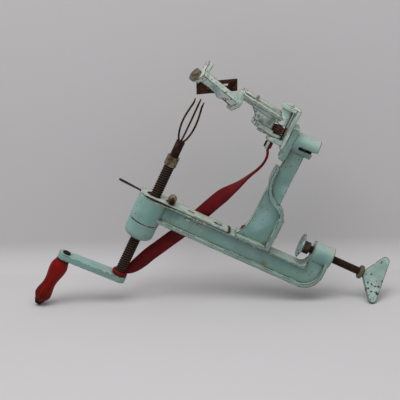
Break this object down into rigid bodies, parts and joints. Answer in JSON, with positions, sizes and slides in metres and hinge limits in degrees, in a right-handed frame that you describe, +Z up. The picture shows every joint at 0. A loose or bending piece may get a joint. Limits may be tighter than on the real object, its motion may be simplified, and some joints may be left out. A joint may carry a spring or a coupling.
{
  "type": "fruit peeler",
  "caption": "Hand cranked fruit peeler with a threaded feed screw and fork, a hinged blade arm, an elastic strap and a table clamp with a wing screw.",
  "frame": {"origin": "centre of the fixed jaw face of the table clamp", "axes": "+X to the right as in the picture, towards the clamp wing; +Y away from the viewer; +Z up as the peeler stands on a surface"},
  "size_m": [0.3645, 0.0582, 0.2535],
  "materials": {
    "mint_enamel": "mint green enamel on cast metal, chipped at the edges",
    "rusted_steel": "dark rusted steel",
    "worn_steel": "worn plated steel",
    "red_wood": "worn red paint on turned wood",
    "red_rubber": "dull red rubber"
  },
  "bodies": {
    "frame": {"main_frame": "mint_enamel", "thread_cap": "mint_enamel", "post": "mint_enamel", "post_screws": "rusted_steel", "guide_pin": "rusted_steel", "guide_screw": "rusted_steel", "spring_stud": "rusted_steel", "return_spring": "rusted_steel", "pivot_bracket": "mint_enamel", "stud_nut": "rusted_steel", "pivot_pin": "rusted_steel", "torsion_spring": "rusted_steel", "strap_rivet": "rusted_steel"},
    "release": {"release_plate": "mint_enamel"},
    "carrier": {"strap_eyelet": "red_rubber", "strap_band": "red_rubber"},
    "crank": {"lead_screw": "rusted_steel", "fork_collar": "worn_steel", "fork_ferrule": "rusted_steel", "fork_prongs": "rusted_steel", "crank_arm": "mint_enamel", "handle_pin": "rusted_steel", "handle_end_nut": "rusted_steel"},
    "handle": {"crank_handle": "red_wood"},
    "arm": {"blade_arm": "mint_enamel", "blade_pin": "rusted_steel"},
    "blade": {"peeling_blade": "rusted_steel"},
    "pad": {"pressure_pad": "mint_enamel"},
    "clamp": {"clamp_screw": "rusted_steel", "clamp_wing": "mint_enamel"}
  },
  "joints": [
    {"name": "feed_slide", "type": "slide", "parent": "frame", "child": "carrier", "axis": [0.4462, 0, 0.8949], "range_m": [-0.0325, 0.035], "deforming": ["strap_band"]},
    {"name": "crank_turn", "type": "hinge", "parent": "carrier", "child": "crank", "pos_m": [-0.11901, 0, 0.04369], "axis": [0.4462, 0, 0.8949], "range_deg": [-4690, 5050]},
    {"name": "handle_spin", "type": "hinge", "parent": "crank", "child": "handle", "pos_m": [-0.21605, -0.00606, -0.02167], "axis": [0.5368, 0.0109, 0.8436], "continuous": true},
    {"name": "arm_swing", "type": "hinge", "parent": "frame", "child": "arm", "pos_m": [0.01015, 0, 0.12009], "axis": [0.4462, 0, 0.8949], "range_deg": [-8, 40], "stiffness_Nm_per_rad": 0.3},
    {"name": "blade_rock", "type": "hinge", "parent": "arm", "child": "blade", "pos_m": [-0.04167, -0.01761, 0.13765], "axis": [-0.6835, -0.2955, 0.6675], "range_deg": [-10, 10]},
    {"name": "release_slide", "type": "slide", "parent": "frame", "child": "release", "axis": [0.8949, 0, -0.4462], "range_m": [0, 0.003], "stiffness_N_per_m": 400, "springref_m": -0.003},
    {"name": "clamp_slide", "type": "slide", "parent": "frame", "child": "pad", "axis": [-0.8949, 0, 0.4462], "range_m": [-0.0035, 0.025]},
    {"name": "clamp_turn", "type": "hinge", "parent": "pad", "child": "clamp", "pos_m": [0.08301, 0, -0.04194], "axis": [-0.8949, 0, 0.4462], "range_deg": [-1018, 7210]}
  ],
  "couplings": [
    {"joint": "crank_turn", "follows": "feed_slide", "rad_per_m": 2513.3},
    {"joint": "clamp_turn", "follows": "clamp_slide", "rad_per_m": 5026.5}
  ]
}
